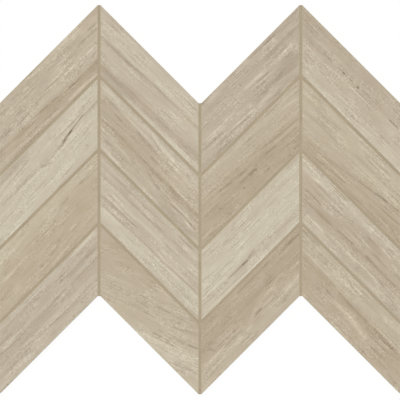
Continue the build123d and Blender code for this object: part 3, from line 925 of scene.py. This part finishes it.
class MOSAIC_OT_weave_mesh(Operator):
    """Finish the glass-fibre mesh on the back"""

    bl_idname = "mosaic.weave_mesh"
    bl_label = "Finish mesh"

    def execute(self, context):
        dress("mesh_backing", glass_fibre_mesh(context.scene.mosaic_look))
        return {"FINISHED"}


def seen_share(tree, share):
    """A socket with this share for rays that show the background, and 0 for those that light the sheet."""
    rays = add_node(tree, "ShaderNodeLightPath").outputs
    seen = rays["Is Camera Ray"]
    for ray in ("Is Glossy Ray", "Is Transmission Ray"):
        seen = add_node(tree, "ShaderNodeMath", {0: seen, 1: rays[ray]}, operation="MAXIMUM").outputs[0]
    return add_node(tree, "ShaderNodeMath", {0: seen, 1: share}, operation="MULTIPLY").outputs[0]


def white_floor():
    """White paper sweep: clean white to the eye, with a faint shadow kept where the sheet lies on it."""
    material, tree, _ = new_material("White paper")
    tree.nodes.clear()
    paper = add_node(tree, "ShaderNodeBsdfDiffuse", {"Color": WHITE}).outputs[0]
    glow = add_node(tree, "ShaderNodeEmission", {"Color": WHITE, "Strength": 1.0}).outputs[0]
    seen = seen_share(tree, FLOOR_WHITE)
    surface = add_node(tree, "ShaderNodeMixShader", {0: seen, 1: paper, 2: glow}).outputs[0]
    add_node(tree, "ShaderNodeOutputMaterial", {"Surface": surface})
    return material


def studio_world():
    """An even white sky that lights the sheet softly, and is plain white where it is seen."""
    world = bpy.data.worlds.new("Studio")
    world.use_nodes = True
    tree = world.node_tree
    tree.nodes.clear()
    sky = add_node(tree, "ShaderNodeBackground", {"Color": WHITE, "Strength": SKY_LEVEL}).outputs[0]
    backdrop = add_node(tree, "ShaderNodeBackground", {"Color": WHITE, "Strength": 1.0}).outputs[0]
    seen = seen_share(tree, 1.0)
    surface = add_node(tree, "ShaderNodeMixShader", {0: seen, 1: sky, 2: backdrop}).outputs[0]
    add_node(tree, "ShaderNodeOutputWorld", {"Surface": surface})
    return world


class MOSAIC_OT_set_stage(Operator):
    """Set the floor, the light and the camera that looks straight down on the sheet"""

    bl_idname = "mosaic.set_stage"
    bl_label = "Set stage"

    def execute(self, context):
        scene = context.scene
        low, high = cad_box

        paper = bpy.data.meshes.new("floor")
        form = bmesh.new()
        bmesh.ops.create_grid(form, x_segments=1, y_segments=1, size=FLOOR_HALF)
        bmesh.ops.translate(form, verts=form.verts, vec=(0.0, 0.0, low.z))
        form.to_mesh(paper)
        form.free()
        floor = bpy.data.objects.new("floor", paper)
        floor.data.materials.append(white_floor())
        scene.collection.objects.link(floor)

        scene.world = studio_world()
        softbox = bpy.data.lights.new("softbox", "SUN")
        softbox.angle = SOFTBOX_ANGLE
        softbox.energy = math.pi * (1.0 - SKY_LEVEL)  # with the sky, a colour renders as it is written
        lamp = bpy.data.objects.new("softbox", softbox)
        lamp.rotation_euler = SOFTBOX_TILT
        lamp.location = SOFTBOX_PLACE
        scene.collection.objects.link(lamp)

        lens = bpy.data.cameras.new("camera")
        lens.lens = LENS_LENGTH
        lens.sensor_width = SENSOR_WIDTH
        camera = bpy.data.objects.new("camera", lens)
        camera.location = (*VIEW_MIDDLE, high.z + VIEW_WIDTH * LENS_LENGTH / SENSOR_WIDTH)
        scene.collection.objects.link(camera)
        scene.camera = camera
        scene.view_settings.view_transform = "Standard"
        return {"FINISHED"}


OPERATORS = (MOSAIC_OT_print_chips, MOSAIC_OT_fill_joints, MOSAIC_OT_weave_mesh, MOSAIC_OT_set_stage)


class VIEW3D_PT_mosaic(Panel):
    """The sheet's finishes and the steps that make them"""

    bl_label = "Chevron mosaic"
    bl_space_type = "VIEW_3D"
    bl_region_type = "UI"
    bl_category = "Mosaic"

    def draw(self, context):
        for name in MosaicLook.__annotations__:
            self.layout.prop(context.scene.mosaic_look, name)
        for operator in OPERATORS:
            self.layout.operator(operator.bl_idname)


CLASSES = (MosaicLook, *OPERATORS, VIEW3D_PT_mosaic)


def register():
    for cls in CLASSES:
        bpy.utils.register_class(cls)
    bpy.types.Scene.mosaic_look = PointerProperty(type=MosaicLook)


def unregister():
    del bpy.types.Scene.mosaic_look
    for cls in reversed(CLASSES):
        bpy.utils.unregister_class(cls)


def main():
    register()
    bpy.ops.mosaic.print_chips()
    bpy.ops.mosaic.fill_joints()
    bpy.ops.mosaic.weave_mesh()
    bpy.ops.mosaic.set_stage()


if __name__ == "__main__":
    main()
